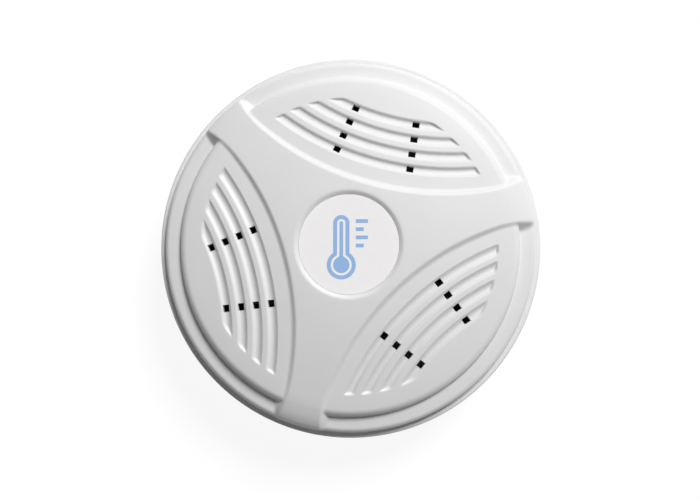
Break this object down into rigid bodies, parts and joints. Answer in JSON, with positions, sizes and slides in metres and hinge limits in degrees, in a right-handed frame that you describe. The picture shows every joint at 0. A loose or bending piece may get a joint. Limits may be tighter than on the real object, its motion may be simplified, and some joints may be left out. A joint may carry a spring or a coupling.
{
  "type": "room temperature sensor",
  "caption": "Flat round room temperature sensor for a wall: white crowned cover with a three-armed web, sunk vented panels and a round badge, snapped on a dish-shaped base.",
  "frame": {"origin": "middle of the base's flat wall face", "axes": "+Z out of the front, away from the wall; +Y up on the wall; +X to the right as seen from the front"},
  "size_m": [0.085, 0.085, 0.024],
  "materials": {
    "white_abs": "satin-gloss moulded ABS",
    "label_film": "satin printed label film",
    "board_laminate": "glass-epoxy laminate with solder mask",
    "plated_steel": "bright zinc or tin plated",
    "nickelled_brass": "nickel-plated, slightly dull",
    "terminal_polyamide": "moulded polyamide",
    "moulded_epoxy": "moulded black epoxy",
    "capacitor_ceramic": "fired, unglazed",
    "can_aluminium": "drawn bare can"
  },
  "bodies": {
    "root": {"front_cover": "white_abs", "rear_base": "white_abs", "badge_disc": "label_film", "circuit_board": "board_laminate", "board_screw_1": "plated_steel", "board_screw_2": "plated_steel", "board_screw_3": "plated_steel", "terminal_screw_1": "plated_steel", "terminal_screw_2": "plated_steel", "terminal_screw_3": "plated_steel", "sensor_lead_1": "plated_steel", "sensor_lead_2": "plated_steel", "sensor_lead_3": "plated_steel", "regulator_tab": "plated_steel", "terminal_clamp_1": "nickelled_brass", "terminal_clamp_2": "nickelled_brass", "terminal_clamp_3": "nickelled_brass", "terminal_body": "terminal_polyamide", "sensor_body": "moulded_epoxy", "controller_chip": "moulded_epoxy", "regulator_body": "moulded_epoxy", "protection_diode": "moulded_epoxy", "capacitor_foot": "moulded_epoxy", "resistor_1": "moulded_epoxy", "resistor_2": "moulded_epoxy", "resistor_3": "moulded_epoxy", "ceramic_capacitor_1": "capacitor_ceramic", "ceramic_capacitor_2": "capacitor_ceramic", "capacitor_can": "can_aluminium"}
  },
  "joints": []
}
